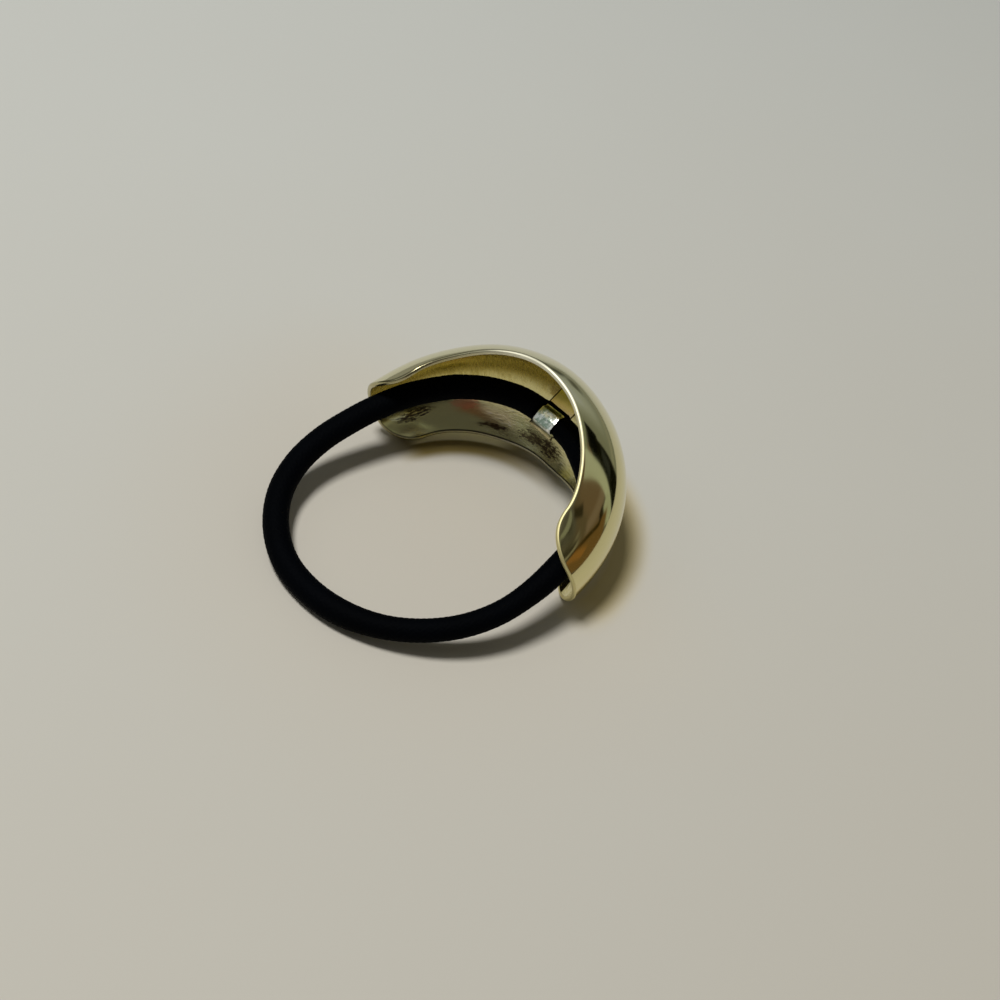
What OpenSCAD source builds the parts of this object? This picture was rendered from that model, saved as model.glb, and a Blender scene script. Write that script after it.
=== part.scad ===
// A metal hair cuff on a round elastic loop, standing as it rests on a table.
// The cuff's front faces -Y, the loop reaches toward +Y and +Z is up.

/* [Cuff sheet] */
// Half width of the sheet seen from above, to the middle of its thickness
plan_half_w = 24; // [20:0.5:28]
// Depth of the sheet seen from above, from the line through its ends to its front
plan_depth = 26.4; // [22:0.1:30]
// Angle from the front of the sheet round to each end
end_angle = 86.5; // [75:0.5:89]
// Thickness of the sheet
sheet_t = 0.8; // [0.5:0.1:1]
// Radius of the four rounded corners
corner_r = 7; // [4:0.5:7]

/* [Clip] */
// How far the clip sits to the right of the middle
clip_x = 1.2; // [0:0.1:2]
// Distance of the cord from the middle of the cuff's plan, inside the clip
clip_reach = 19.7; // [18:0.1:20.5]
// Height of the cord above the middle of the sheet, inside the clip
clip_rise = 0.4; // [0:0.1:1]
// Slope at which the plate comes down from the sheet to the cord
clip_slope = 18; // [10:1:24]
// Length of the crimp along the cord
crimp_len = 3.7; // [3:0.1:5]
// Thickness of the crimp's metal
crimp_t = 0.35; // [0.3:0.05:0.4]
// Thickness of the soldered plate
plate_t = 0.5; // [0.4:0.1:0.6]

/* [Elastic loop] */
// Diameter of the elastic cord
cord_d = 4; // [3.5:0.1:4.5]
// Diameter of the cord where the crimp squeezes it
squeezed_d = 3.1; // [2.8:0.1:3.1]

/* [Hidden] */
$fn = 64;

// Sections of the sheet, evenly spaced from its front to an end.
// Half the height between its rims, and how far it bulges out between them.
HALF_H = 0;
BULGE = 1;
SECTIONS = [
    [14.1, 7.1],
    [13.3, 6.8],
    [12.2, 6.6],
    [10.5, 6.2],
    [9.2, 5.9],
    [8.3, 7.0]
];

// Steps of the sheet's mesh along half of it, along a corner, and across it
BODY_STEPS = 25;
CORNER_STEPS = 6;
ACROSS_STEPS = 16;
// Steps in which the length of half the sheet is added up
PLAN_STEPS = 100;

// Slope of the lean to start from, and how often it is made more exact
FIRST_SLOPE = 0.2;
LEAN_ROUNDS = 5;

// Middle line of the cord, once round from inside the crimp and back.
// Each row is across and back from the middle of the cuff's plan, in the plane of the loop.
ROUTE = [
    [1.3, -19.7], [3.2, -19.7], [6.4, -19.1], [9.3, -17.8], [11.9, -16.1], [14.1, -14],
    [16, -11.6], [18.6, -6.4], [20, -1], [20.6, 4.4], [20.6, 10], [19.4, 15.6],
    [16.6, 20.8], [12, 25], [6.2, 27.6], [0, 28.1], [-6, 26.9], [-11.4, 24.1],
    [-15.8, 20.1], [-19, 15.3], [-20.8, 9.9], [-21, 4.3], [-20, -1.1], [-18, -6.2],
    [-15, -10.8], [-11.1, -14.9], [-6.2, -18.1], [-3.6, -19.2], [-0.8, -19.7], [1.1, -19.7]
];
ROUTE_STEPS = 2;
CORD_SIDES = 10;
// Slope of the loop's plane, which rises away from the cuff's own middle plane
LOOP_SLOPE = 0.112;

// Clearances between the cord, the crimp and the plate
CORD_GAP = 0.1;
PLATE_GAP = 0.1;
// How much wider the plate is than the crimp's length
PLATE_EXTRA = 0.2;
// How far the cord stays squeezed past each end of the crimp
SQUEEZE_EXTRA = 0.2;
// Where the crimp's seam starts and ends, as angles outward from its top
SEAM_START = 28;
SEAM_END = 118;
// Thickness and height of the crimp's edge that is turned out at the seam
LIP_T = 0.25;
LIP_H = 0.55;
// How far a cut runs past the metal it goes through
CUT_EXTRA = 0.5;

crimp_r = squeezed_d / 2 + CORD_GAP + crimp_t;
plate_w = crimp_len + PLATE_EXTRA;

function unit(v) = v / norm(v);
function sum(list, i = 0) = i == len(list) ? 0 : list[i] + sum(list, i + 1);

// Smooth curve through one column of the sections, level at the front and at the end
function slope_at(column, i) =
    i == 0 || i == len(SECTIONS) - 1 ? 0 : (SECTIONS[i + 1][column] - SECTIONS[i - 1][column]) / 2;
function section(column, share) =
    let (
        last = len(SECTIONS) - 1,
        x = share * last,
        i = min(floor(x), last - 1),
        t = x - i
    )
    (2 * t^3 - 3 * t^2 + 1) * SECTIONS[i][column] + (t^3 - 2 * t^2 + t) * slope_at(column, i)
    + (3 * t^2 - 2 * t^3) * SECTIONS[i + 1][column] + (t^3 - t^2) * slope_at(column, i + 1);

// Length of half the sheet along its plan
function plan_point(a) = [plan_half_w * sin(a), -plan_depth * cos(a)];
half_len = sum([for (i = [1:PLAN_STEPS])
    norm(plan_point(end_angle * i / PLAN_STEPS) - plan_point(end_angle * (i - 1) / PLAN_STEPS))]);

// How much a rounded corner takes off each rim at a distance from the end
function corner_trim(d) = d >= corner_r ? 0 : corner_r - sqrt(max(0, corner_r^2 - (corner_r - d)^2));

// A point of the sheet: u from -1 to 1 along it, v from -1 to 1 across it, off outward from its middle
function sheet_point(u, v, off) =
    let (
        h = section(HALF_H, abs(u)),
        b = section(BULGE, abs(u)),
        r = (h^2 + b^2) / (2 * b),
        arc = r * atan2(h, r - b) * PI / 180,
        w = v * (arc - corner_trim((1 - abs(u)) * half_len)) / r * 180 / PI,
        out = (r + off) * cos(w) - r,
        a = end_angle * u,
        n = unit([plan_depth * sin(a), -plan_half_w * cos(a)]),
        p = plan_point(a) + out * n
    )
    [p[0], p[1], (r + off) * sin(w)];

// Places along the sheet, closer together round the corners
HALF_U = concat(
    [for (i = [0:BODY_STEPS]) i / BODY_STEPS * (1 - corner_r / half_len)],
    [for (i = [1:CORNER_STEPS]) 1 - corner_r / half_len * (1 - sin(90 * i / CORNER_STEPS))]
);
ALL_U = concat([for (i = [len(HALF_U) - 1:-1:1]) -HALF_U[i]], HALF_U);

// How it rests: the lean that puts the middle of the lower rim and both lower end corners on the table
UNDER_EDGE = [for (u = HALF_U, off = [-sheet_t / 2, sheet_t / 2]) sheet_point(u, -1, off)];
FRONT_EDGE = [for (p = UNDER_EDGE) if (p[1] < -plan_depth / 2) p];
END_EDGE = concat([for (p = UNDER_EDGE) if (p[1] >= -plan_depth / 2) p],
    [for (i = [0:ACROSS_STEPS]) sheet_point(1, -i / ACROSS_STEPS, sheet_t / 2)]);
function lowest(points, k) =
    let (heights = [for (p = points) p[2] - k * p[1]], m = min(heights))
    [for (i = [0:len(points) - 1]) if (heights[i] == m) points[i]][0];
function rest_slope(k, rounds) =
    rounds == 0 ? k :
    let (a = lowest(FRONT_EDGE, k), b = lowest(END_EDGE, k))
    rest_slope((b[2] - a[2]) / (b[1] - a[1]), rounds - 1);
lean = atan(rest_slope(FIRST_SLOPE, LEAN_ROUNDS));

// From the cuff's own frame to the table's, before it is centred
function leaned(p) = [p[0], p[1] * cos(lean) + p[2] * sin(lean), p[2] * cos(lean) - p[1] * sin(lean)];
SHEET_LEANED = [for (off = [-sheet_t / 2, sheet_t / 2], u = ALL_U, i = [0:ACROSS_STEPS])
    leaned(sheet_point(u, 2 * i / ACROSS_STEPS - 1, off))];
table_z = min([for (p = SHEET_LEANED) p[2]]);
mid_y = (min([for (p = SHEET_LEANED) p[1]]) + max([for (p = SHEET_LEANED) p[1]])) / 2;

// Stands the cuff's own frame on the table, with the cuff centred over the origin
module rested() {
    translate([0, -mid_y, -table_z])
        rotate([-lean, 0, 0])
            children();
}

// The clip's frame: X along the cord, -Y outward and up to the sheet
module clip_frame() {
    translate([clip_x, -clip_reach, clip_rise])
        rotate([-clip_slope, 0, 0])
            children();
}

// The curved sheet as one closed shell, its two faces joined round the outline
module sheet() {
    columns = len(ALL_U);
    rows = ACROSS_STEPS + 1;
    points = [for (off = [-sheet_t / 2, sheet_t / 2], u = ALL_U, i = [0:ACROSS_STEPS])
        sheet_point(u, 2 * i / ACROSS_STEPS - 1, off)];
    function at(side, c, r) = (side * columns + c) * rows + r;
    function square(a, b, c, d) = [[a, b, c], [a, c, d]];
    outer = [for (c = [0:columns - 2], r = [0:rows - 2])
        each square(at(1, c, r), at(1, c, r + 1), at(1, c + 1, r + 1), at(1, c + 1, r))];
    inner = [for (c = [0:columns - 2], r = [0:rows - 2])
        each square(at(0, c, r), at(0, c + 1, r), at(0, c + 1, r + 1), at(0, c, r + 1))];
    low = [for (c = [0:columns - 2])
        each square(at(0, c, 0), at(1, c, 0), at(1, c + 1, 0), at(0, c + 1, 0))];
    high = [for (c = [0:columns - 2])
        each square(at(0, c, rows - 1), at(0, c + 1, rows - 1), at(1, c + 1, rows - 1), at(1, c, rows - 1))];
    start = [for (r = [0:rows - 2])
        each square(at(0, 0, r), at(0, 0, r + 1), at(1, 0, r + 1), at(1, 0, r))];
    finish = [for (r = [0:rows - 2])
        each square(at(0, columns - 1, r), at(1, columns - 1, r),
            at(1, columns - 1, r + 1), at(0, columns - 1, r + 1))];
    polyhedron(points, concat(outer, inner, low, high, start, finish), convexity = 6);
}

// The plate, soldered to the middle of the sheet and running down under the crimp
module plate() {
    drop = crimp_r + PLATE_GAP + plate_t / 2;
    outward = (plan_depth - clip_reach - drop * sin(clip_slope)) / cos(clip_slope);
    clip_frame()
        translate([-plate_w / 2, -outward, -drop - plate_t / 2])
            cube([plate_w, outward + crimp_r, plate_t]);
}

// The cuff: the sheet with its soldered plate
module cuff() {
    color("palegoldenrod")
        rested() {
            sheet();
            plate();
        }
}

// The crimp that closes the cord into a loop, with an open seam whose upper edge is turned out
module crimp() {
    color("silver")
        rested()
            clip_frame()
                rotate([0, 90, 0]) {
                    difference() {
                        cylinder(h = crimp_len, r = crimp_r, center = true);
                        cylinder(h = crimp_len + 2 * CUT_EXTRA, r = crimp_r - crimp_t, center = true);
                        rotate([0, 0, 180 + SEAM_START])
                            linear_extrude(height = crimp_len + 2 * CUT_EXTRA, center = true)
                                seam();
                    }
                    rotate([0, 0, 180 + SEAM_START])
                        translate([crimp_r - crimp_t, 0, -crimp_len / 2])
                            cube([LIP_H, LIP_T, crimp_len]);
                }
}

// Sector that the seam takes out of the crimp, from its upper edge
module seam() {
    opening = SEAM_END - SEAM_START;
    reach = 2 * crimp_r;
    polygon(concat([[0, 0]], [for (a = [0, opening / 2, opening]) reach * [cos(a), sin(a)]]));
}

// The cord's middle line in the cuff's own frame, smoothed through the route
function route_point(i) = ROUTE[min(max(i, 0), len(ROUTE) - 1)];
function on_plane(p) = [p[0], p[1], clip_rise + LOOP_SLOPE * (p[1] + clip_reach)];
function smooth(i, t) =
    let (a = route_point(i - 1), b = route_point(i), c = route_point(i + 1), d = route_point(i + 2))
    on_plane(0.5 * (2 * b + t * (c - a) + t^2 * (2 * a - 5 * b + 4 * c - d) + t^3 * (3 * b - a - 3 * c + d)));
CORD_LINE = concat(
    [for (i = [0:len(ROUTE) - 2], k = [0:ROUTE_STEPS - 1]) smooth(i, k / ROUTE_STEPS)],
    [on_plane(ROUTE[len(ROUTE) - 1])]
);
LOOP_UP = unit([0, -LOOP_SLOPE, 1]);

// The cord is squeezed near its two ends, inside the crimp
function in_crimp(p) = abs(p[0] - clip_x) < crimp_len / 2 + SQUEEZE_EXTRA && p[1] < 0;
function cord_r(p) = in_crimp(p) ? squeezed_d / 2 : cord_d / 2;

// The elastic loop: one tube swept along the cord's middle line
module elastic_loop() {
    last = len(CORD_LINE) - 1;
    points = [for (i = [0:last])
        let (
            p = CORD_LINE[i],
            ahead = unit(CORD_LINE[min(i + 1, last)] - CORD_LINE[max(i - 1, 0)]),
            side = cross(ahead, LOOP_UP)
        )
        for (k = [0:CORD_SIDES - 1])
            p + cord_r(p) * (cos(360 * k / CORD_SIDES) * side + sin(360 * k / CORD_SIDES) * LOOP_UP)];
    walls = [for (i = [0:last - 1], k = [0:CORD_SIDES - 1])
        let (a = i * CORD_SIDES + k, b = i * CORD_SIDES + (k + 1) % CORD_SIDES)
        each [[a, b, b + CORD_SIDES], [a, b + CORD_SIDES, a + CORD_SIDES]]];
    start = [for (k = [1:CORD_SIDES - 2]) [0, k + 1, k]];
    finish = [for (k = [1:CORD_SIDES - 2]) [0, k, k + 1] + last * CORD_SIDES * [1, 1, 1]];
    color([0.04, 0.04, 0.05])
        rested()
            polyhedron(points, concat(walls, start, finish), convexity = 4);
}

cuff();
crimp();
elastic_loop();
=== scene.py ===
# %% [markdown]
# # A metal hair cuff on an elastic loop
#
# The object is a curved band of pale gold metal that hides the elastic of a ponytail. Inside it, a small
# plate is soldered to the middle of the band, and a silver crimp beside the plate closes a round black
# elastic into a loop. The cuff leans on its lower rim, and the loop lies down behind it.
#
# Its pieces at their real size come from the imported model, which stays as it is. This lesson gives them
# their looks: first the camera and the cord, then the band, the clip, their finishes, the table and the
# light.

# %% Load the frame
import math

import bmesh
import bpy
import numpy as np
from mathutils import Matrix, Vector


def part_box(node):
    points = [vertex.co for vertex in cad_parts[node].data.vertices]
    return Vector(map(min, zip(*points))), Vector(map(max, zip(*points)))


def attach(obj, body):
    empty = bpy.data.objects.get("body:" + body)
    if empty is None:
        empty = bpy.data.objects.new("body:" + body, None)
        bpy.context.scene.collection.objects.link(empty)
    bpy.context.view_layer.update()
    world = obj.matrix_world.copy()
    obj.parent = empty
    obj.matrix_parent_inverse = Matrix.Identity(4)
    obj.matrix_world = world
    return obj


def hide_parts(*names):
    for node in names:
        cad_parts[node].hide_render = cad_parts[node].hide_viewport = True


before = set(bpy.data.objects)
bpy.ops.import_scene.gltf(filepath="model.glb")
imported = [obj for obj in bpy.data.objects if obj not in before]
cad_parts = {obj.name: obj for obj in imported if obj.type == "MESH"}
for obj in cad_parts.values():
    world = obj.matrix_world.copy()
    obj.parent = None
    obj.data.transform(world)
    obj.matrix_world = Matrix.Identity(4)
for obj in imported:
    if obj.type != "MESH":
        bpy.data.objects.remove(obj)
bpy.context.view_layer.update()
MM = 0.001

# %% [markdown]
# ## The camera
#
# The photograph looks down into the open back of the cuff, from a little to its left, and the camera was
# turned about its own axis. A camera can be aimed with a constraint, but then a roll is awkward. Here its
# three axes are worked out as vectors, and the roll turns two of them, which is plain and exact.

# %% Aim the camera
CAMERA_TARGET = Vector((0.13, 1.9, 0)) * MM
CAMERA_DISTANCE = 248.5 * MM
CAMERA_HEADING = math.radians(125.47)
CAMERA_RISE = math.radians(43.5)
CAMERA_ROLL = math.radians(17)
FOCAL_PIXELS = 1549
PICTURE_PIXELS = 1000
SENSOR = 36

toward_camera = Vector((
    math.cos(CAMERA_HEADING) * math.cos(CAMERA_RISE),
    math.sin(CAMERA_HEADING) * math.cos(CAMERA_RISE),
    math.sin(CAMERA_RISE),
))
level = Vector((-math.sin(CAMERA_HEADING), math.cos(CAMERA_HEADING), 0))
upright = toward_camera.cross(level)
picture_right = math.cos(CAMERA_ROLL) * level + math.sin(CAMERA_ROLL) * upright
picture_up = math.cos(CAMERA_ROLL) * upright - math.sin(CAMERA_ROLL) * level
camera = bpy.data.objects.new("camera", bpy.data.cameras.new("camera"))
camera.data.sensor_width = SENSOR
camera.data.lens = FOCAL_PIXELS / PICTURE_PIXELS * SENSOR
camera.data.clip_start = 10 * MM
camera.matrix_world = Matrix.Translation(CAMERA_TARGET + CAMERA_DISTANCE * toward_camera) @ Matrix(
    (picture_right, picture_up, toward_camera)).transposed().to_4x4()
bpy.context.scene.collection.objects.link(camera)
bpy.context.scene.camera = camera
print("camera at", [round(x / MM, 1) for x in camera.matrix_world.translation], "mm")

# %% [markdown]
# ## The shape of the sheet
#
# The cuff is one sheet, curved round the head in plan and bulging between its rims. Modelling it by hand
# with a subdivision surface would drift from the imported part, so the same few sections are used here, with
# more steps. A point of the sheet is given by how far it is along, across, and outward from the middle of
# its thickness. An inset keeps it away from the outline, which is what rounds the edges later.

# %% Formulas of the sheet
PLAN_HALF_W = 24
PLAN_DEPTH = 26.4
END_ANGLE = math.radians(86.5)
SHEET_T = 0.8
CORNER_R = 7
HALF_H = 0
BULGE = 1
SECTIONS = np.array([
    [14.1, 7.1],
    [13.3, 6.8],
    [12.2, 6.6],
    [10.5, 6.2],
    [9.2, 5.9],
    [8.3, 7.0],
])
PLAN_STEPS = 100

plan_angles = np.linspace(0, END_ANGLE, PLAN_STEPS + 1)
plan_points = np.stack([PLAN_HALF_W * np.sin(plan_angles), -PLAN_DEPTH * np.cos(plan_angles)], 1)
half_len = np.linalg.norm(np.diff(plan_points, axis=0), axis=1).sum()


def section(column, share):
    """A smooth curve through one column of the sections, level at the front and at the end."""
    values = SECTIONS[:, column]
    slopes = np.zeros(len(values))
    slopes[1:-1] = (values[2:] - values[:-2]) / 2
    last = len(values) - 1
    place = np.clip(share, 0, 1) * last
    i = np.minimum(place.astype(int), last - 1)
    t = place - i
    return ((2 * t**3 - 3 * t**2 + 1) * values[i] + (t**3 - 2 * t**2 + t) * slopes[i]
            + (3 * t**2 - 2 * t**3) * values[i + 1] + (t**3 - t**2) * slopes[i + 1])


def sheet_point(along, across, outward, inset=0.0):
    """Points of the sheet in the cuff's own frame: along and across run from -1 to 1, the rest is in mm."""
    share = np.abs(along) * (1 - inset / half_len)
    height = section(HALF_H, share)
    bulge = section(BULGE, share)
    radius = (height**2 + bulge**2) / (2 * bulge)
    arc = radius * np.arctan2(height, radius - bulge)
    corner = CORNER_R - inset
    into_corner = np.clip(corner - (1 - np.abs(along)) * (half_len - inset), 0, corner)
    trim = corner - np.sqrt(corner**2 - into_corner**2)
    turn = across * (arc - inset - trim) / radius
    out = (radius + outward) * np.cos(turn) - radius
    angle = END_ANGLE * share * np.sign(along)
    normal = np.stack([PLAN_DEPTH * np.sin(angle), -PLAN_HALF_W * np.cos(angle)], -1)
    normal /= np.linalg.norm(normal, axis=-1, keepdims=True)
    x = PLAN_HALF_W * np.sin(angle) + out * normal[..., 0]
    y = -PLAN_DEPTH * np.cos(angle) + out * normal[..., 1]
    return np.stack([x, y, (radius + outward) * np.sin(turn)], -1)


print("half the sheet's length", round(float(half_len), 2), "mm")

# %% [markdown]
# ## How it stands
#
# The cuff rests on the middle of its lower rim and its two lower end corners, so its own frame leans. The
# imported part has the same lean. Rather than repeat its two shifts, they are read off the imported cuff's box:
# the leaned sheet is moved until its box sits on that one.

# %% From the cuff's own frame to the table
LEAN = math.radians(20.672)
HULL_ALONG = 401
HULL_ACROSS = 201


def leaned(points):
    """Points of the cuff's own frame, leaned back about the X axis."""
    x, y, z = points[..., 0], points[..., 1], points[..., 2]
    return np.stack([
        x,
        y * math.cos(LEAN) + z * math.sin(LEAN),
        z * math.cos(LEAN) - y * math.sin(LEAN),
    ], -1)


grid = np.meshgrid(np.linspace(-1, 1, HULL_ALONG), np.linspace(-1, 1, HULL_ACROSS))
both_faces = [leaned(sheet_point(*grid, side)).reshape(-1, 3) for side in (-SHEET_T / 2, SHEET_T / 2)]
hull = np.concatenate(both_faces)
cuff_low, cuff_high = [np.array(corner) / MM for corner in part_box("cuff")]
stand_shift = (cuff_low + cuff_high - hull.min(0) - hull.max(0)) / 2


def on_table(points):
    """Points in mm of the cuff's own frame, in metres where they stand on the table."""
    return (leaned(points) + stand_shift) * MM


box_error = hull.max(0) - hull.min(0) - (cuff_high - cuff_low)
print("sheet box less the packed one", np.round(box_error, 3), "mm")

# %% [markdown]
# ## The elastic
#
# The elastic is a round cord with a fine braided cover. Its middle line repeats the route of the packed
# tube, which is a list of given places. A curve object with a bevel would be a plain tube, so the
# cover is made as a mesh: two sets of yarns wind round it both ways, and each goes over two and under two
# of the others. Their height is a formula of the place along and around the cord.

# %% The middle line of the cord
ROUTE = [
    [1.3, -19.7], [3.2, -19.7], [6.4, -19.1], [9.3, -17.8], [11.9, -16.1], [14.1, -14],
    [16, -11.6], [18.6, -6.4], [20, -1], [20.6, 4.4], [20.6, 10], [19.4, 15.6],
    [16.6, 20.8], [12, 25], [6.2, 27.6], [0, 28.1], [-6, 26.9], [-11.4, 24.1],
    [-15.8, 20.1], [-19, 15.3], [-20.8, 9.9], [-21.2, 4.2], [-20.7, -1.4], [-19.4, -7],
    [-16.6, -12], [-12.1, -16.1], [-6.5, -18.9], [-3.6, -19.7], [-0.8, -19.8], [1.1, -19.7],
]
CLIP_X = 1.2
CLIP_REACH = 19.7
CLIP_RISE = 0.4
CLIP_SLOPE = math.radians(18)
LOOP_SLOPE = 0.112
CORD_D = 4
CRIMP_LEN = 3.7
CRIMP_SHIFT = -0.6
ROUTE_STEPS = 40
CORD_STATIONS = 1180
PATH_POINTS = 120


def route_line(steps):
    """The route smoothed through its points, in the loop's plane, in the cuff's own frame."""
    padded = np.array([ROUTE[0]] + ROUTE + [ROUTE[-1]])
    spans = []
    for i in range(len(ROUTE) - 1):
        a, b, c, d = padded[i:i + 4]
        t = np.arange(steps)[:, None] / steps
        spans.append(0.5 * (2 * b + t * (c - a) + t**2 * (2 * a - 5 * b + 4 * c - d)
                            + t**3 * (3 * b - a - 3 * c + d)))
    line = np.concatenate(spans + [padded[-1:]])
    rise = CLIP_RISE + LOOP_SLOPE * (line[:, 1] + CLIP_REACH)
    return np.column_stack([line, rise])


def evenly(line, count):
    """The same line with its points at even distances."""
    steps = np.linalg.norm(np.diff(line, axis=0), axis=1)
    run = np.concatenate([[0], np.cumsum(steps)])
    places = np.linspace(0, run[-1], count)
    return places, np.column_stack([np.interp(places, run, line[:, k]) for k in range(3)])


cord_run, cord_line = evenly(route_line(ROUTE_STEPS), CORD_STATIONS)

# %% The braided cover
YARNS = 16
YARN_PITCH = 0.85
YARN_HEIGHT = 0.1
CORD_ROUND = 80
SQUEEZE_EASE = 0.9
SQUEEZED_OUTWARD = 2.3
SQUEEZED_INWARD = 1.66
SQUEEZED_UP = 1.1
SQUEEZED_DOWN = 1.6
UNDER_LIP = 1.8
# Degrees above the level at which the turned lip starts to hold the cord, and over which it takes hold
LIP_STARTS = 3
LIP_EASE = 16
# The cord is pulled a little thinner on its way to the cuff's left end
SLIM_SHARE = 0.12
SLIM_X = -4
SLIM_Y = -2
SLIM_EASE = 10


def smoothstep(x):
    """0 below 0, 1 above 1, and a smooth rise between them."""
    x = np.clip(x, 0, 1)
    return x * x * (3 - 2 * x)


def squeezed_radius(turn):
    """Radius of the cord under the crimp, by the turn from outward towards up, in radians."""
    outward = np.cos(turn)
    up = np.sin(turn)
    wide = np.where(outward > 0, SQUEEZED_OUTWARD, SQUEEZED_INWARD)
    tall = np.where(up > 0, SQUEEZED_UP, SQUEEZED_DOWN)
    oval = ((outward / wide)**2 + (up / tall)**2)**-0.5
    under_lip = np.minimum(oval, UNDER_LIP / np.maximum(outward + up, 0.5))
    held = smoothstep((np.degrees(turn) - LIP_STARTS) / LIP_EASE)
    return np.where((outward > 0) & (up > 0), oval + held * (under_lip - oval), oval)


def braid_height(along, turn):
    """Height of the yarns, from 0 in the grooves to 1 on the crowns."""
    right = YARNS * turn + along / YARN_PITCH
    left = YARNS * turn - along / YARN_PITCH
    right_crown = np.sqrt(np.sin(np.pi * (right % 1)))
    left_crown = np.sqrt(np.sin(np.pi * (left % 1)))
    right_wave = np.cos(np.pi / 2 * (left - np.floor(right)))
    left_wave = -np.cos(np.pi / 2 * (np.floor(left) + 1 - right))
    return np.maximum(0.6 * right_crown + 0.4 * right_wave, 0.6 * left_crown + 0.4 * left_wave)


def tube_mesh(name, rings):
    """An open-ended stack of rings as a mesh, closed with a face at each end."""
    count, sides = rings.shape[:2]
    start = np.arange(count - 1)[:, None] * sides
    k = np.arange(sides)[None]
    following = (k + 1) % sides
    quads = np.stack([start + k, start + following, start + sides + following, start + sides + k], -1)
    faces = quads.reshape(-1, 4).tolist()
    faces.append(list(range(sides))[::-1])
    faces.append([(count - 1) * sides + n for n in range(sides)])
    mesh = bpy.data.meshes.new(name)
    mesh.from_pydata(rings.reshape(-1, 3).tolist(), [], faces)
    mesh.shade_smooth()
    made = bpy.data.objects.new(name, mesh)
    bpy.context.scene.collection.objects.link(made)
    return made


loop_up = np.array([0, -LOOP_SLOPE, 1]) / math.hypot(1, LOOP_SLOPE)
ahead = np.gradient(cord_line, axis=0)
ahead /= np.linalg.norm(ahead, axis=1, keepdims=True)
sideways = np.cross(ahead, loop_up)
turns = np.arange(CORD_ROUND) / CORD_ROUND
past_crimp = np.abs(cord_line[:, 0] - CLIP_X - CRIMP_SHIFT) - CRIMP_LEN / 2
near_clip = cord_line[:, 1] < 0
swell = np.where(near_clip, smoothstep(past_crimp / SQUEEZE_EASE), 1)[:, None]
circle = 2 * math.pi * turns
clip_turn = circle - CLIP_SLOPE - math.atan(LOOP_SLOPE)
squeezed = squeezed_radius((clip_turn + math.pi) % (2 * math.pi) - math.pi)[None]
slim = smoothstep((SLIM_X - cord_line[:, 0]) / SLIM_EASE) * smoothstep((cord_line[:, 1] - SLIM_Y) / SLIM_EASE)
free_radius = CORD_D / 2 * (1 - SLIM_SHARE * slim)[:, None]
core = squeezed + (free_radius - squeezed) * swell
relief = YARN_HEIGHT * braid_height(cord_run[:, None], turns[None])
radius = core - YARN_HEIGHT + relief
rings = (cord_line[:, None]
         + (radius * np.cos(circle))[..., None] * sideways[:, None]
         + (radius * np.sin(circle))[..., None] * loop_up)
elastic = tube_mesh("elastic_cord", on_table(rings))
cord_path = [tuple(p) for p in on_table(evenly(route_line(ROUTE_STEPS), PATH_POINTS)[1])]
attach(elastic, "root")
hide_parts("elastic_loop")
lowest = min(p[2] for p in cord_path) / MM
print("elastic", len(elastic.data.polygons), "faces, middle line lowest at", round(lowest, 2), "mm")

# %% [markdown]
# ## The polished band
#
# The sheet is 0.8 mm thick and tumbling has rounded its edges, which is why the rims catch a white line of
# light; a paler edge colour, a painted highlight, adds to it. A solidify modifier with a bevel would trip over
# the tight steps round the corners. So two grids are laid, one for each face, and loops of points join their
# outlines round the edge.

# %% Mesh of the sheet
BODY_STEPS = 96
CORNER_STEPS = 22
ACROSS_STEPS = 64
EDGE_ROUND = 0.34
EDGE_LOOPS = 5
# Slots of the band's three finishes
OUTSIDE = 0
INSIDE = 1
EDGE = 2


def places_along():
    """Places along the sheet, closer together round the corners."""
    corner_share = CORNER_R / half_len
    body = np.arange(BODY_STEPS + 1) / BODY_STEPS * (1 - corner_share)
    bend = 1 - corner_share * (1 - np.sin(math.pi / 2 * np.arange(1, CORNER_STEPS + 1) / CORNER_STEPS))
    half = np.concatenate([body, bend])
    return np.concatenate([-half[:0:-1], half])


def outline_of(rows, columns):
    """Row and column of each point round the outline of a grid."""
    top = [(0, c) for c in range(columns - 1)]
    right = [(r, columns - 1) for r in range(rows - 1)]
    bottom = [(rows - 1, c) for c in range(columns - 1, 0, -1)]
    left = [(r, 0) for r in range(rows - 1, 0, -1)]
    return np.array(top + right + bottom + left)


along = places_along()
across = np.linspace(-1, 1, ACROSS_STEPS + 1)
grid_along, grid_across = np.meshgrid(along, across)
rows, columns = grid_along.shape
edge = outline_of(rows, columns)
edge_along = grid_along[edge[:, 0], edge[:, 1]]
edge_across = grid_across[edge[:, 0], edge[:, 1]]
half_t = SHEET_T / 2
edge_levels = []
for side in (1, -1):
    turned = math.pi / 2 * np.arange(1, EDGE_LOOPS + 1) / EDGE_LOOPS
    for angle in turned[::side]:
        outward = half_t - EDGE_ROUND * (1 - math.cos(angle))
        edge_levels.append((EDGE_ROUND * (1 - math.sin(angle)), side * outward))
layers = [
    sheet_point(grid_along, grid_across, half_t, EDGE_ROUND).reshape(-1, 3),
    sheet_point(grid_along, grid_across, -half_t, EDGE_ROUND).reshape(-1, 3),
] + [sheet_point(edge_along, edge_across, outward, inset) for inset, outward in edge_levels]
points = on_table(np.concatenate(layers))
places = np.concatenate([
    np.stack([grid_along.ravel(), grid_across.ravel()], 1),
    np.stack([grid_along.ravel(), grid_across.ravel()], 1),
] + [np.stack([edge_along, edge_across], 1)] * len(edge_levels))
print("sheet", rows, "by", columns, "points on each face,", len(edge), "round the outline")

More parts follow.
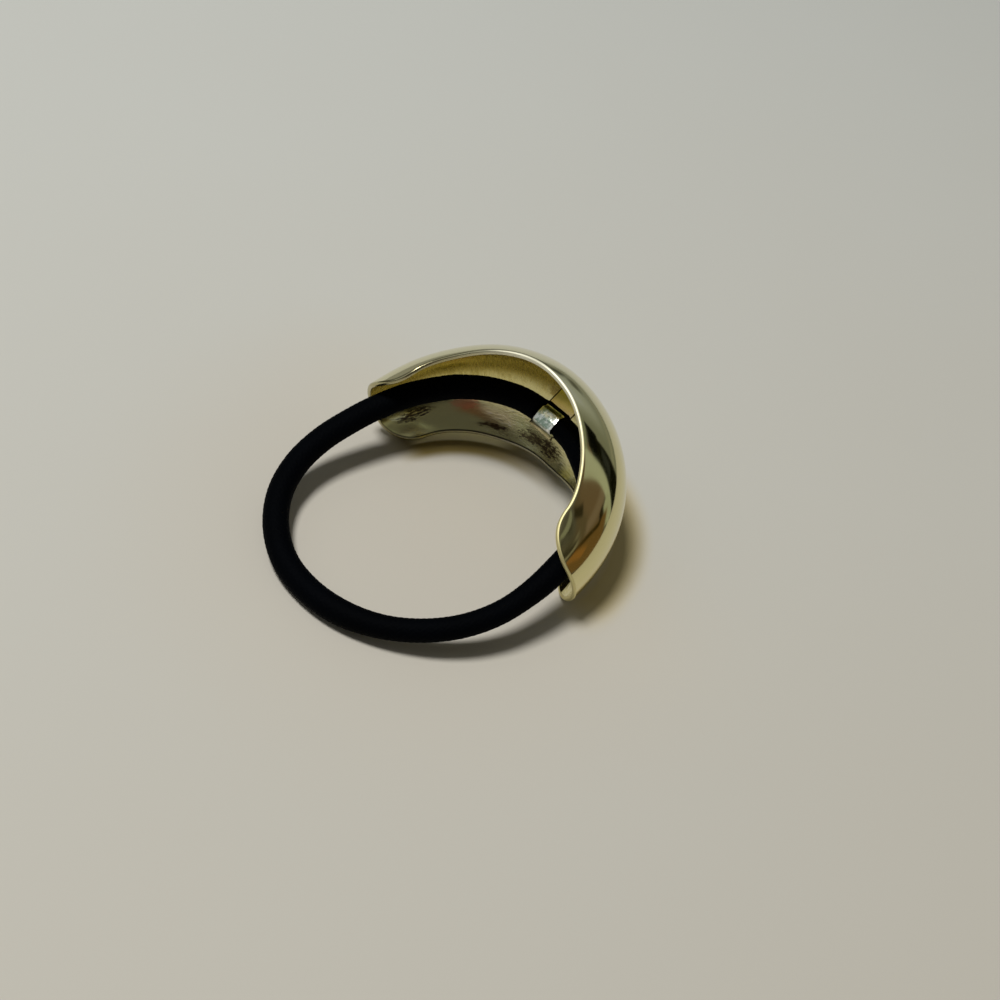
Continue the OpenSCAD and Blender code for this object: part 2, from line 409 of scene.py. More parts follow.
# %% Faces of the sheet
face_size = rows * columns
r = np.arange(rows - 1)[:, None]
c = np.arange(columns - 1)[None]
corner = r * columns + c
quad = np.stack([corner, corner + 1, corner + columns + 1, corner + columns], -1).reshape(-1, 4)
outside_faces = quad.tolist()
inside_faces = (quad[:, ::-1] + face_size).tolist()
outline = edge[:, 0] * columns + edge[:, 1]
loops = [outline] + [2 * face_size + n * len(edge) + np.arange(len(edge)) for n in range(len(edge_levels))]
loops.append(outline + face_size)
edge_faces = []
for upper, lower in zip(loops[:-1], loops[1:]):
    strip = np.stack([upper, lower, np.roll(lower, -1), np.roll(upper, -1)], -1)
    edge_faces += strip.tolist()
mesh = bpy.data.meshes.new("cuff_band")
mesh.from_pydata(points.tolist(), [], outside_faces + inside_faces + edge_faces)
slots = [OUTSIDE] * len(outside_faces) + [INSIDE] * len(inside_faces) + [EDGE] * len(edge_faces)
mesh.polygons.foreach_set("material_index", slots)
mesh.shade_smooth()
chart = mesh.uv_layers.new(name="chart")
corners = np.zeros(len(mesh.loops), dtype=np.int32)
mesh.loops.foreach_get("vertex_index", corners)
chart.data.foreach_set("uv", (places[corners] * 0.5 + 0.5).ravel())
band = bpy.data.objects.new("cuff_band", mesh)
bpy.context.scene.collection.objects.link(band)
build = bmesh.new()
build.from_mesh(mesh)
bmesh.ops.recalc_face_normals(build, faces=build.faces)
build.to_mesh(mesh)
build.free()
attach(band, "root")
print("band", len(mesh.polygons), "faces")

# %% [markdown]
# ## The clip
#
# A short plate is soldered to the middle of the band and slopes down under the cord. It is a bar with
# softened edges, so a profile is drawn once, from the side, and pushed across. The crimp is a strip of
# silver metal folded round the cord and pressed flat on top. It doesn't close: the cord swells out of the
# open side, under a small turned lip. It is a profile too, pushed along the cord, its ends drawn in a little.

# %% From the clip's frame to the table
PLATE_GAP = 0.1
PLATE_T = 0.5
PLATE_SIDES = (-1.95, 2.9)
PLATE_TIP = 2.35
# The sheet curves away to the sides, so the plate ends short of its middle and stays inside the metal
PLATE_SHORT = 0.2
# Slots of the plate's two finishes
PLATE_TOP = 0
PLATE_SIDE = 1
# A face that looks sideways by more than this is a side
SIDE_FACING = 0.6
PLATE_SOFT = 0.08
UNDER_CRIMP = 2.0


def on_clip(points):
    """Points in mm of the clip's frame, X along the cord and -Y outward, in metres on the table."""
    x, y, z = points[..., 0], points[..., 1], points[..., 2]
    own = np.stack([
        x + CLIP_X,
        y * math.cos(CLIP_SLOPE) + z * math.sin(CLIP_SLOPE) - CLIP_REACH,
        z * math.cos(CLIP_SLOPE) - y * math.sin(CLIP_SLOPE) + CLIP_RISE,
    ], -1)
    return on_table(own)


def pushed(name, profile, stations):
    """A closed profile in the clip's YZ plane, repeated at each station along X, as a closed mesh."""
    rings = [np.column_stack([np.full(len(profile), x), profile]) for x in stations]
    return tube_mesh(name, on_clip(np.array(rings)))


def softened(piece, width, angle=40):
    """Rounds a piece's sharp edges and keeps its flat faces flat."""
    build = bmesh.new()
    build.from_mesh(piece.data)
    limit = math.radians(angle)
    sharp = [e for e in build.edges if len(e.link_faces) == 2 and e.calc_face_angle() > limit]
    bmesh.ops.bevel(
        build, geom=sharp, offset=width, segments=3, profile=0.7, affect="EDGES", clamp_overlap=True)
    bmesh.ops.recalc_face_normals(build, faces=build.faces)
    build.to_mesh(piece.data)
    build.free()
    piece.data.shade_smooth()


drop = UNDER_CRIMP + PLATE_GAP + PLATE_T / 2
outward = (PLAN_DEPTH - PLATE_SHORT - CLIP_REACH - drop * math.sin(CLIP_SLOPE)) / math.cos(CLIP_SLOPE)
plate_profile = [
    (-outward, -drop - PLATE_T / 2),
    (PLATE_TIP, -drop - PLATE_T / 2),
    (PLATE_TIP, -drop + PLATE_T / 2),
    (-outward, -drop + PLATE_T / 2),
]
plate = pushed("plate", plate_profile, PLATE_SIDES)
softened(plate, PLATE_SOFT * MM)
for face in plate.data.polygons:
    face.material_index = PLATE_SIDE if abs(face.normal.x) > SIDE_FACING else PLATE_TOP
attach(plate, "root")
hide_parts("cuff")
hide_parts("cuff")
print("plate", round(outward + PLATE_TIP, 2), "mm long")

# %% The crimp
# Outer side of the strip, from its turned lip over the flat top and down the inner side to under the cord
CRIMP_OUTER = [
    (-1.64, 0.72), (-1.46, 0.76), (-0.80, 1.50), (0.50, 1.58), (1.70, 1.44), (2.00, 0.95),
    (2.08, 0.20), (1.95, -0.80), (1.45, -1.60), (0.60, -1.96), (-0.60, -1.98), (-1.30, -1.80),
]
STRIP_T = 0.28
STRIP_STEP = 0.12
CRIMP_STATIONS = 15
CRIMP_WAIST = 0.08
CRIMP_TURN = math.radians(3)
CRIMP_SOFT = 0.06


def filled_in(line, step):
    """A line with places added, so that no two neighbours are further apart than a step."""
    places = []
    for first, second in zip(line[:-1], line[1:]):
        count = max(1, math.ceil(math.dist(first, second) / step))
        places += [np.array(first) + (np.array(second) - np.array(first)) * n / count for n in range(count)]
    return np.array(places + [np.array(line[-1])])


def moved_in(line, depth):
    """A line moved to its right by a depth, with its corners kept."""
    steps = np.diff(line, axis=0)
    steps /= np.linalg.norm(steps, axis=1, keepdims=True)
    sides = np.column_stack([steps[:, 1], -steps[:, 0]])
    both = np.vstack([sides[:1], sides]) + np.vstack([sides, sides[-1:]])
    return line + depth * 2 * both / (both**2).sum(1, keepdims=True)


outer_line = filled_in(CRIMP_OUTER, STRIP_STEP)
inner_line = moved_in(outer_line, STRIP_T)[::-1]


def pressed(profile, n):
    """The profile at one station, drawn in towards the ends by the press."""
    share = 2 * n / (CRIMP_STATIONS - 1) - 1
    return profile * (1 - CRIMP_WAIST * share**4 / 2)


stations = np.linspace(-CRIMP_LEN / 2, CRIMP_LEN / 2, CRIMP_STATIONS)
rings = []
for n, x in enumerate(stations):
    ring = pressed(np.vstack([outer_line, inner_line]), n)
    rings.append(np.column_stack([
        np.full(len(ring), x + CRIMP_SHIFT) - ring[:, 0] * math.sin(CRIMP_TURN),
        ring[:, 0] + x * math.sin(CRIMP_TURN),
        ring[:, 1],
    ]))
crimp = tube_mesh("crimp_band", on_clip(np.array(rings)))
softened(crimp, CRIMP_SOFT * MM)
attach(crimp, "root")
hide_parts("crimp")
print("crimp", len(crimp.data.polygons), "faces")

# %% [markdown]
# ## Shader maths
#
# A finish is a small sum on the surface: a bit of noise here, a mask there. Wiring it by hand hides the
# sum, so a socket is wrapped in a small class that knows plus, minus and times, and every other node comes
# from one method.

# %% Sockets that can be added and multiplied


class Wire:
    """One output socket, which can stand in a sum with numbers and other wires."""

    def __init__(self, graph, socket):
        self.graph = graph
        self.socket = socket

    def joined(self, operation, first, second):
        return self.graph.node("ShaderNodeMath", {"operation": operation}, {0: first, 1: second})

    def __add__(self, other):
        return self.joined("ADD", self, other)

    def __radd__(self, other):
        return self.joined("ADD", other, self)

    def __sub__(self, other):
        return self.joined("SUBTRACT", self, other)

    def __rsub__(self, other):
        return self.joined("SUBTRACT", other, self)

    def __mul__(self, other):
        return self.joined("MULTIPLY", self, other)

    def __rmul__(self, other):
        return self.joined("MULTIPLY", other, self)

    def __truediv__(self, other):
        return self.joined("DIVIDE", self, other)

    def __pow__(self, other):
        return self.joined("POWER", self, other)


class Graph:
    """The nodes of one material or of the world."""

    def __init__(self, owner):
        owner.use_nodes = True
        self.owner = owner
        self.tree = owner.node_tree
        self.tree.nodes.clear()

    def node(self, kind, settings=None, sockets=None, out=0):
        """Makes a node, sets its settings and then its sockets, and gives back one output."""
        made = self.tree.nodes.new(kind)
        for name, value in (settings or {}).items():
            setattr(made, name, value)
        for name, value in (sockets or {}).items():
            if isinstance(value, Wire):
                self.tree.links.new(value.socket, made.inputs[name])
            else:
                made.inputs[name].default_value = value
        return Wire(self, made.outputs[out]) if len(made.outputs) else made

    def mix(self, factor, first, second):
        """A colour between two colours."""
        colours = [c if isinstance(c, Wire) else (*c, 1) for c in (first, second)]
        sockets = {0: factor, 6: colours[0], 7: colours[1]}
        return self.node("ShaderNodeMix", {"data_type": "RGBA"}, sockets, 2)

    def rise(self, value, low, high):
        """0 below low, 1 above high, and smooth between."""
        settings = {"interpolation_type": "SMOOTHSTEP"}
        sockets = {"Value": value, "From Min": low, "From Max": high}
        return self.node("ShaderNodeMapRange", settings, sockets)

    def noise(self, places, scale, detail=2.0, rough=0.5):
        """Noise from 0 to 1 at the given places."""
        sockets = {"Vector": places, "Scale": scale, "Detail": detail, "Roughness": rough}
        return self.node("ShaderNodeTexNoise", {}, sockets)

    def split(self, places):
        """The X, Y and Z of a place as three wires."""
        parts = self.node("ShaderNodeSeparateXYZ", {}, {"Vector": places}).socket.node
        return [Wire(self, parts.outputs[axis]) for axis in "XYZ"]

    def bump(self, strength, distance, height):
        """The normal of a surface with small heights, their distance in mm."""
        sockets = {"Strength": strength, "Distance": distance * MM, "Height": height}
        return self.node("ShaderNodeBump", {}, sockets, "Normal")

    def finished(self, sockets):
        """Makes a Principled shader the surface, and gives back the material."""
        shader = self.node("ShaderNodeBsdfPrincipled", {}, sockets)
        self.node("ShaderNodeOutputMaterial", {}, {"Surface": shader})
        return self.owner


def material(name):
    """A new material and its graph."""
    return Graph(bpy.data.materials.new(name))


print("shader maths ready")

# %% [markdown]
# ## Polished gold
#
# The outside is bright pale gold, polished but not a mirror. Metal has no colour of its own apart from its
# reflection, so the base colour is that of its highlights. The plating is a little deeper towards one end,
# and faint polishing marks change the roughness from place to place. The tumbled edge is more satin; its
# colour is painted paler as a highlight, and darker towards the left end of the picture as painted shade.

# %% Outside and edges
GOLD = (0.80, 0.75, 0.49)
GOLD_DEEP = (0.77, 0.70, 0.37)
# The edge's colours: a paler one as a painted highlight, a dull one towards the left end as painted shade
EDGE_HIGHLIGHT_GOLD = (0.92, 0.90, 0.74)
EDGE_SHADE_GOLD = (0.50, 0.46, 0.27)


def polished_gold(name, metal, left_metal, rough, left_rough):
    """Polished gold, with another colour and roughness toward the left end of the picture."""
    graph = material(name)
    places = graph.node("ShaderNodeTexCoord", out="Object")
    cloud = graph.noise(places, 90, 3)
    marks = graph.noise(places, 900, 4, 0.6)
    sideways = graph.split(places)[0]
    toward_end = graph.rise(sideways + 0.006 * cloud, 0.004, -0.019)
    colour = graph.mix(toward_end, metal, GOLD_DEEP)
    left = graph.rise(sideways, 0.004, 0.016)
    colour = graph.mix(left, colour, left_metal)
    rough = rough + (left_rough - rough) * left
    return graph.finished({
        "Base Color": colour,
        "Metallic": 1.0,
        "Roughness": rough + 0.05 * cloud + 0.04 * marks,
        "Normal": graph.bump(0.02, 0.02, marks),
    })


outside_gold = polished_gold("gold_outside", GOLD, GOLD, 0.04, 0.04)
# The edge is painted paler as a highlight, and darker towards the left end as painted shade
edge_gold = polished_gold("gold_edge", EDGE_HIGHLIGHT_GOLD, EDGE_SHADE_GOLD, 0.55, 0.14)
print("gold", outside_gold.name, edge_gold.name)

# %% [markdown]
# ## The brushed inside
#
# Nobody polishes the inside. Above the elastic it is deep yellow, with fine brush marks that run from rim to
# rim. Below the elastic it is olive and satin, worn in specks and patches near the crimp. Among those patches,
# a pale streak under the cord is painted light and a reddish patch is a painted reflection, and a painted line
# of shade runs along the lower rim. The chart that was laid over the sheet says where along and across it a
# point is, so each patch gets a place, a size, a roughness of outline and a colour in one short table.

# %% Inside
UPPER_GOLD = (0.76, 0.62, 0.14)
UPPER_PALE = (0.86, 0.79, 0.38)
LOWER_GOLD = (0.80, 0.76, 0.42)
BRUSHED_DARK = (0.52, 0.42, 0.10)
SCUFF_DARK = (0.30, 0.24, 0.14)
SCUFF_BRIGHT = (1.0, 1.0, 0.92)
# Painted shade: a dark line along the inside's lower rim
RIM_SHADE_LINE = (0.06, 0.05, 0.025)
# Painted shade on the plate's cut sides, dark and brown
SIDE_SHADE_DARK = (0.05, 0.035, 0.012)
SIDE_SHADE_BROWN = (0.16, 0.12, 0.05)
# Each patch: along, across, half its length, half its height, how ragged, and its colour. The second is
# painted light, a pale streak under the cord; the third is a painted reflection; the others are wear.
WEAR_AND_LIGHT_PATCHES = [
    (0.94, -0.76, 0.11, 0.18, 0.3, (0.62, 0.57, 0.31)),
    # Painted light: a pale streak under the cord
    (0.93, -0.60, 0.07, 0.09, 0.4, (0.95, 0.98, 0.82)),
    # Painted reflection: a reddish patch
    (0.60, -0.60, 0.07, 0.10, 0.8, (0.95, 0.58, 0.34)),
    (0.83, -0.63, 0.07, 0.065, 2.1, (0.09, 0.065, 0.040)),
    (0.89, -0.68, 0.05, 0.055, 2.1, (0.10, 0.075, 0.045)),
    (0.46, -0.87, 0.08, 0.035, 1.6, (0.14, 0.095, 0.045)),
    (0.22, -0.85, 0.08, 0.06, 2.0, (0.22, 0.17, 0.09)),
    (0.10, -0.86, 0.06, 0.08, 2.1, (0.13, 0.100, 0.055)),
    (0.64, 0.06, 0.08, 0.05, 0.5, (0.50, 0.40, 0.06)),
    (0.15, -0.16, 0.04, 0.10, 0.6, (0.52, 0.42, 0.14)),
]


def brushed_inside():
    """Deep yellow above the elastic, olive and worn below it, with some painted light and shade."""
    graph = material("gold_inside")
    chart_place = graph.node("ShaderNodeUVMap", {"uv_map": "chart"})
    u, v = [part * 2.0 - 1.0 for part in graph.split(chart_place)[:2]]
    places = graph.node("ShaderNodeTexCoord", out="Object")
    streak_place = graph.node("ShaderNodeCombineXYZ", {}, {"X": u * 100.0, "Y": v * 5.0})
    streaks = graph.noise(streak_place, 1.0, 3, 0.7)
    torn_place = graph.node("ShaderNodeCombineXYZ", {}, {"X": u * 26.0, "Y": v * 44.0})
    torn = graph.noise(torn_place, 1.0, 4, 0.68)
    blotches = graph.noise(places, 300, 4, 0.6)
    specks = graph.noise(places, 2600, 3, 0.65)
    lower = graph.rise(v + 0.2 * blotches, -0.08, -0.32)
    near_cord = graph.rise(v + 0.1 * blotches, 0.06, -0.18)
    colour = graph.mix(near_cord, UPPER_GOLD, UPPER_PALE)
    colour = graph.mix(lower, colour, LOWER_GOLD)
    marked = graph.rise(streaks * 0.6 + blotches * 0.4, 0.4, 0.68) * (0.7 - 0.6 * lower)
    colour = graph.mix(marked, colour, BRUSHED_DARK)
    scuffed = lower * graph.rise(u, 0.56, 0.46)
    colour = graph.mix(scuffed * graph.rise(torn, 0.52, 0.62) * 0.4, colour, SCUFF_DARK)
    colour = graph.mix(scuffed * graph.rise(torn, 0.44, 0.36) * 0.6, colour, SCUFF_BRIGHT)
    # Wear, painted light and a painted reflection, patch by patch
    for patch_u, patch_v, reach_u, reach_v, ragged, wear_and_light in WEAR_AND_LIGHT_PATCHES:
        du = (u - patch_u) / reach_u
        dv = (v - patch_v) / reach_v
        spread = du * du + dv * dv + ragged * (specks + torn + torn - 1.5) * 2.4
        colour = graph.mix(graph.rise(spread, 1.2, 0.5), colour, wear_and_light)
    # Painted shade along the lower rim
    colour = graph.mix(graph.rise(v, -0.975, -0.99), colour, RIM_SHADE_LINE)
    polished_end = graph.rise(u, -0.72, -0.84)
    pits = streaks + lower * (0.3 * specks + 0.8 * blotches - streaks) + scuffed * 2.0 * torn
    pits = pits * (1.0 - polished_end)
    rough = (0.20 + 0.14 * streaks - 0.10 * lower) * (1.0 - 0.75 * polished_end)
    return graph.finished({
        "Base Color": colour,
        "Metallic": 1.0,
        "Roughness": rough,
        "Normal": graph.bump(0.35, 0.03, pits),
    })


def shaded_plate_side():
    """The plate's cut sides, painted dark as shade in the gap beside them."""
    graph = material("gold_plate_side_shade")
    places = graph.node("ShaderNodeTexCoord", out="Object")
    side_shade = graph.noise(places, 1500, 3, 0.6)
    return graph.finished({
        "Base Color": graph.mix(side_shade, SIDE_SHADE_DARK, SIDE_SHADE_BROWN),
        "Metallic": 1.0,
        "Roughness": 0.45 + 0.2 * side_shade,
    })


PLATE_PINK = (0.90, 0.85, 1.0)
PLATE_GREEN = (0.90, 0.96, 0.34)
PLATE_TIP_GOLD = (0.74, 0.60, 0.32)
PLATE_BORDER = (0.05, 0.04, 0.015)


def soldered_plate():
    """The plate's top: pinkish under the crimp, greener at the band, with a dark line at its left border."""
    graph = material("gold_plate")
    places = graph.node("ShaderNodeTexCoord", out="Object")
    x, y = graph.split(places)[:2]
    cloud = graph.noise(places, 700, 3, 0.6)
    at_band = graph.rise(y + 0.001 * cloud, -0.0085, -0.0105)
    colour = graph.mix(at_band, PLATE_PINK, PLATE_GREEN)
    colour = graph.mix(graph.rise(y, -0.0065, -0.0055), colour, PLATE_TIP_GOLD)
    colour = graph.mix(graph.rise(x, 0.00382, 0.00392), colour, PLATE_BORDER)
    return graph.finished({
        "Base Color": colour,
        "Metallic": 1.0,
        "Roughness": 0.16 + 0.16 * cloud,
    })


inside_gold = brushed_inside()
for finish in (outside_gold, inside_gold, edge_gold):
    band.data.materials.append(finish)
for finish in (soldered_plate(), shaded_plate_side()):
    plate.data.materials.append(finish)
print("inside", len(WEAR_AND_LIGHT_PATCHES), "worn places")

# %% [markdown]
# ## Silver crimp and black elastic
#
# The crimp is plain bright metal with the marks of the pliers. The cover of the elastic is matte nylon,
# nearly black, with a faint bluish sheen where light grazes the yarns.

# %% Crimp and elastic
SILVER = (0.94, 0.94, 0.91)
TARNISH = (0.24, 0.31, 0.25)
NYLON_BLACK = (0.0003, 0.0005, 0.0009)
NYLON_BLUE = (0.0005, 0.0011, 0.0022)
SHEEN_TINT = (0.55, 0.7, 1.0, 1)


def pressed_silver():
    """Silver with soft dents, tarnished in spots and most of all in the middle of its face."""
    graph = material("silver_crimp")
    places = graph.node("ShaderNodeTexCoord", out="Object")
    x = graph.split(places)[0] * (1 / MM)
    dents = graph.noise(places, 700, 2, 0.5)
    spots = graph.noise(places, 2200, 4, 0.65)
    middle = graph.rise(x + spots, -0.55, 0.05) * graph.rise(x + spots, 3.3, 2.3)
    tarnished = graph.rise(spots + 0.5 * dents, 0.60, 0.82) * 0.6 + middle * 0.4
    return graph.finished({
        "Base Color": graph.mix(tarnished, SILVER, TARNISH),
        "Metallic": 1.0,
        "Roughness": 0.14 + 0.2 * spots,
        "Normal": graph.bump(0.5, 0.1, dents + 0.3 * spots),
    })


def black_nylon():
    """Nearly black cloth with a trace of blue."""
    graph = material("nylon_cover")
    places = graph.node("ShaderNodeTexCoord", out="Object")
    patches = graph.noise(places, 120, 2)
    fibres = graph.noise(places, 9000, 3, 0.7)
    return graph.finished({
        "Base Color": graph.mix(patches, NYLON_BLACK, NYLON_BLUE),
        "Roughness": 0.7,
        "Specular IOR Level": 0.025,
        "Sheen Weight": 0.003,
        "Sheen Roughness": 0.4,
        "Sheen Tint": SHEEN_TINT,
        "Normal": graph.bump(0.3, 0.02, fibres),
    })


crimp.data.materials.append(pressed_silver())
elastic.data.materials.append(black_nylon())
print("crimp and elastic dressed")

# %% [markdown]
# ## The table
#
# A plain pale surface, warm near by and cooler further off, with very faint clouds so that it doesn't look
# like paint. It ends a hand's breadth beyond the cuff, out of the picture, but the gold shows that border.
# Gold also throws a warm tint on what lies beside it. Path tracing gives only part of that here, so the
# table's colour holds painted light and shade round the cuff's foot: a painted warm glow and shade of the
# gold in a ring beside it, a painted shadow just inside the lower rim, and a painted strip of light right
# under the raised rim.

# %% Table
TABLE_SIDE = 3.0
TABLE_EDGE = 0.108
TABLE_EDGE_TURN = math.radians(-160)
TABLE_WARM = (0.542, 0.510, 0.446)
TABLE_COOL = (0.600, 0.617, 0.598)
TABLE_NEAR = (0.570, 0.540, 0.478)
SHADED_BROWN = (0.25, 0.185, 0.044)
# Painted light: a pale strip on the table right under the raised rim
RIM_GAP_LIGHT = (0.98, 0.90, 0.62)
# A painted warm glow and shade of the gold on the table beside the cuff
GOLD_GLOW = (0.50, 0.41, 0.19)
# Middle and half sizes in mm of the oval that the cuff's lower rim follows
FOOT_Y = 10
FOOT_HALF = (18, 20.2)


def pale_table():
    """The table's colour, with painted light and shade in rings round the cuff's foot."""
    graph = material("pale_table")
    places = graph.node("ShaderNodeTexCoord", out="Object")
    clouds = graph.noise(places, 14, 3, 0.5)
    grain = graph.noise(places, 500, 3, 0.6)
    x, y = [part * (1 / MM) for part in graph.split(places)[:2]]
    away = graph.rise(x - 0.4 * y + 60.0 * clouds, -220.0, 280.0)
    colour = graph.mix(away, TABLE_WARM, TABLE_COOL)
    over = x * (1 / FOOT_HALF[0])
    back = (y - FOOT_Y) * (1 / FOOT_HALF[1])
    ring = (over * over + back * back) ** 0.5
    near = graph.rise(ring, 3.4, 1.2) * graph.rise(y, -20.0, 6.0)
    colour = graph.mix(0.9 * near, colour, TABLE_NEAR)
    foot = graph.rise(ring, 1.25, 1.10)
    shaded = foot * graph.rise(ring, 0.74, 0.85) * graph.rise(x, -6.0, 12.0) * graph.rise(y, 11.0, 5.0)
    colour = graph.mix(0.93 * shaded, colour, SHADED_BROWN)
    # Painted light: a pale strip on the table right under the raised rim
    lit_under_rim = foot * graph.rise(ring, 0.955, 0.985) * graph.rise(x, 7.0, 11.0) * graph.rise(y, 7.0, 4.0)
    colour = graph.mix(lit_under_rim, colour, RIM_GAP_LIGHT)
    # A painted warm glow and shade of the gold on the table beside the cuff
    beside = graph.rise(ring, 1.15, 1.30) * graph.rise(ring, 1.65, 1.40)
    beside = beside * graph.rise(x * 0.55 + y, 17.0, 12.0) * graph.rise(y - 0.3 * x, 20.0, 10.0)
    colour = graph.mix(0.85 * beside, colour, GOLD_GLOW)
    return graph.finished({
        "Base Color": colour,
        "Roughness": 0.6,
        "Specular IOR Level": 0.2,
        "Normal": graph.bump(0.05, 0.05, grain),
    })


table_mesh = bpy.data.meshes.new("table")
half_side = TABLE_SIDE / 2
edge_way = np.array([math.cos(TABLE_EDGE_TURN), math.sin(TABLE_EDGE_TURN), 0])
edge_side = np.array([-edge_way[1], edge_way[0], 0])
corners = [
    (TABLE_EDGE, -half_side), (TABLE_EDGE, half_side),
    (-half_side, half_side), (-half_side, -half_side),
]
table_mesh.from_pydata([edge_way * out + edge_side * side for out, side in corners], [], [(0, 1, 2, 3)])
table = bpy.data.objects.new("table", table_mesh)
table.data.materials.append(pale_table())
bpy.context.scene.collection.objects.link(table)
print("table", TABLE_SIDE, "m")

# %% [markdown]
# ## Light
#
# Polished metal shows what stands round it, so light here is two things. One round lamp overhead, a little
# behind the loop, casts the soft shadows. The world is a dim studio with cards and flags, painted by
# direction: they are what gives the outside of the cuff its bands and the inside its patches. The camera
# itself sees a plain pale backdrop there, as a studio has behind its cards.

# %% Lamp
LAMP_HEADING = math.radians(57)
LAMP_RISE = math.radians(69.5)
LAMP_DISTANCE = 1.2
LAMP_D = 0.3
LAMP_POWER = 11.2
LAMP_COLOUR = (1.0, 0.985, 0.95)

lamp_toward = Vector((
    math.cos(LAMP_HEADING) * math.cos(LAMP_RISE),
    math.sin(LAMP_HEADING) * math.cos(LAMP_RISE),
    math.sin(LAMP_RISE),
))
lamp = bpy.data.objects.new("lamp", bpy.data.lights.new("lamp", "AREA"))
lamp.data.shape = "DISK"
lamp.data.size = LAMP_D
lamp.data.energy = LAMP_POWER
lamp.data.color = LAMP_COLOUR
aim = lamp_toward.to_track_quat("Z", "Y").to_matrix().to_4x4()
lamp.matrix_world = Matrix.Translation(LAMP_DISTANCE * lamp_toward) @ aim
bpy.context.scene.collection.objects.link(lamp)
print("lamp at", [round(x, 2) for x in lamp.matrix_world.translation], "m")

# %% World
ROOM = (0.075, 0.073, 0.062)
CEILING = (0.34, 0.335, 0.30)
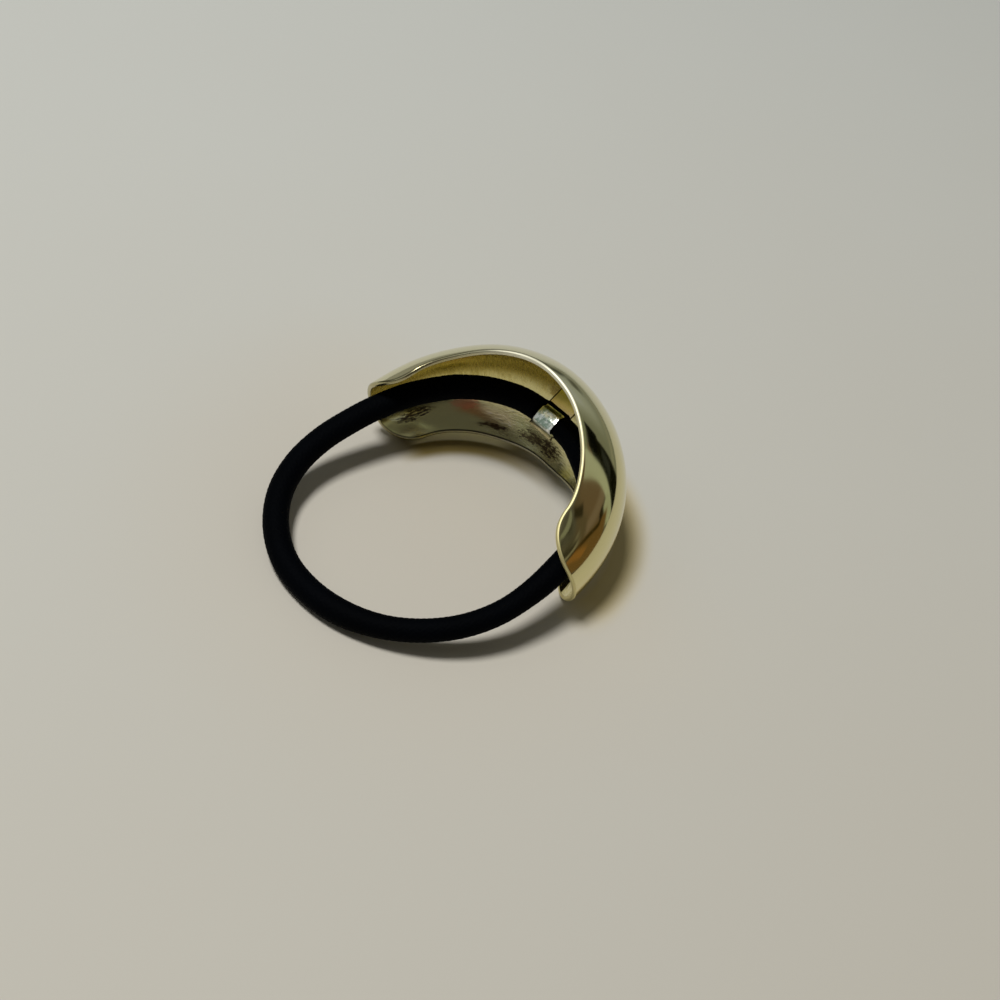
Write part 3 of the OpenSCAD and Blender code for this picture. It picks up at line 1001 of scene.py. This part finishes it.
# Each card: heading, height, half width, half height, turn, bend and softness in degrees, and its colour.
# The bend is how far a card has moved sideways this many degrees above or below its middle.
BEND_SPAN = 30
CARDS = [
    (-80, 13, 32, 36, 0, 0, 8, (0.160, 0.170, 0.140)),
    (-80, 25, 15, 17, 0, 0, 16, (0.270, 0.290, 0.270)),
    (-80, 27, 9, 8, 0, 0, 7, (0.300, 0.325, 0.345)),
    (-18, 8, 14, 12, 0, 0, 8, (0.250, 0.250, 0.220)),
    (-50, 8, 15, 6, 0, 0, 5, (0.075, 0.078, 0.062)),
    (-66, 8, 4, 3.5, 0, 0, 4, (0.050, 0.053, 0.042)),
    (-75.5, 8, 4.5, 2.5, -40, 0, 3, (0.085, 0.087, 0.068)),
    (-82, 1, 24, 2.5, 0, 0, 3, (0.210, 0.215, 0.175)),
    (-145, 38, 21, 27, 22, 0, 6, (0.090, 0.071, 0.045)),
    (-138, 36, 12, 24, 22, 0, 8, (0.118, 0.084, 0.054)),
    (-138, 20.5, 15, 4.5, -14, 0, 6, (0.155, 0.118, 0.090)),
    (-180, 43, 5, 17, 39, 0, 3, (0.190, 0.200, 0.160)),
    (180.5, 46, 4.5, 13, 39, 0, 3, (0.190, 0.200, 0.160)),
    (-163.5, 47, 11, 3.8, -28, 0, 4, (0.024, 0.020, 0.010)),
    (-164.5, 27, 3.5, 6, 20, 0, 3, (0.210, 0.200, 0.155)),
    (-173, 40, 1.8, 17, 39, 0, 1.8, (0.024, 0.021, 0.011)),
    (-118, 46, 18, 5, -15, 0, 4, (0.175, 0.195, 0.150)),
    (-115.5, 32.5, 11, 5.8, -14, 0, 1.6, (0.002, 0.002, 0.001)),
    (-113.2, 9, 6.4, 20, 8, 0, 1.8, (0.004, 0.004, 0.001)),
    (-113, 15, 2.6, 7, 8, 0, 4, (0.022, 0.025, 0.024)),
    (-124.3, 26, 2.9, 32, 19, 7, 1.2, (0.345, 0.375, 0.315)),
    (-123.5, 3, 4, 8, 6, 0, 2, (0.300, 0.325, 0.260)),
    (-146, 4, 20, 10.5, -28, 0, 4, (0.125, 0.074, 0.026)),
    (-148, 14.9, 17, 1.5, -29, 0, 2.2, (0.022, 0.016, 0.002)),
    (-131.5, 10.5, 2.6, 3.4, 0, 0, 2.5, (0.014, 0.010, 0.002)),
    (-155.5, 13, 9, 2.2, -50, 0, 3, (0.215, 0.105, 0.028)),
    (142, 13, 5.5, 10, -8, 0, 4, (0.085, 0.038, 0.022)),
    (136, 20, 5, 6, 0, 0, 4, (0.062, 0.041, 0.026)),
    (130, 26, 9, 2.8, 12, 0, 3, (0.018, 0.012, 0.006)),
    (126, 7, 12, 6.5, 0, 0, 4, (0.290, 0.250, 0.250)),
    (110, 7, 6, 8, 0, 0, 4, (0.230, 0.240, 0.210)),
    (100, 13, 7, 3.5, 40, 0, 4, (0.060, 0.055, 0.035)),
    (99, 21, 9, 1.6, 28, 0, 2, (0.340, 0.360, 0.370)),
    (80, 9, 14, 5, 15, 0, 5, (0.070, 0.058, 0.036)),
    (78, 15, 20, 1.2, 19, 0, 1.5, (0.016, 0.012, 0.006)),
    (80, 12.5, 18, 1.0, 19, 0, 1.5, (0.200, 0.195, 0.160)),
    (48, 4, 8, 3.5, 0, 0, 3, (0.250, 0.230, 0.080)),
    (-177.5, 23, 2.5, 9, 0, 0, 3, (0.330, 0.350, 0.290)),
    (58, 40, 20, 12, 0, 0, 10, (0.550, 0.570, 0.550)),
]
BACKDROP = (0.51, 0.48, 0.41)


def studio_world():
    """The dim room with its cards, each laid over the ones before, and the backdrop for the camera."""
    graph = Graph(bpy.data.worlds.new("studio"))
    place = graph.node("ShaderNodeTexCoord", out="Generated")
    x, y, z = graph.split(place)
    degrees = 180 / math.pi
    heading = graph.node("ShaderNodeMath", {"operation": "ARCTAN2"}, {0: y, 1: x}) * degrees
    height = graph.node("ShaderNodeMath", {"operation": "ARCSINE"}, {0: z}) * degrees
    colour = graph.mix(graph.rise(height, 56.0, 80.0), ROOM, CEILING)
    for card_heading, card_height, half_w, half_h, turn, bend, soft, shade in CARDS:
        right = heading - card_heading
        above = height - card_height
        along, up = right, above
        if turn:
            cosine = math.cos(math.radians(turn))
            sine = math.sin(math.radians(turn))
            along = right * cosine + above * sine
            up = above * cosine - right * sine
        if bend:
            along = along + up * up * (bend / BEND_SPAN**2)
        side = graph.node("ShaderNodeMath", {"operation": "ABSOLUTE"}, {0: along})
        end = graph.node("ShaderNodeMath", {"operation": "ABSOLUTE"}, {0: up})
        inside = graph.rise(side, half_w + soft / 2, half_w - soft / 2)
        inside = inside * graph.rise(end, half_h + soft / 2, half_h - soft / 2)
        colour = graph.mix(inside, colour, shade)
    colour = graph.mix(graph.node("ShaderNodeLightPath"), colour, BACKDROP)
    background = graph.node("ShaderNodeBackground", {}, {"Color": colour, "Strength": 1.0})
    graph.node("ShaderNodeOutputWorld", {}, {"Surface": background})
    return graph.owner


bpy.context.scene.world = studio_world()
bpy.context.scene.view_settings.view_transform = "Standard"
print("world", len(CARDS), "cards")
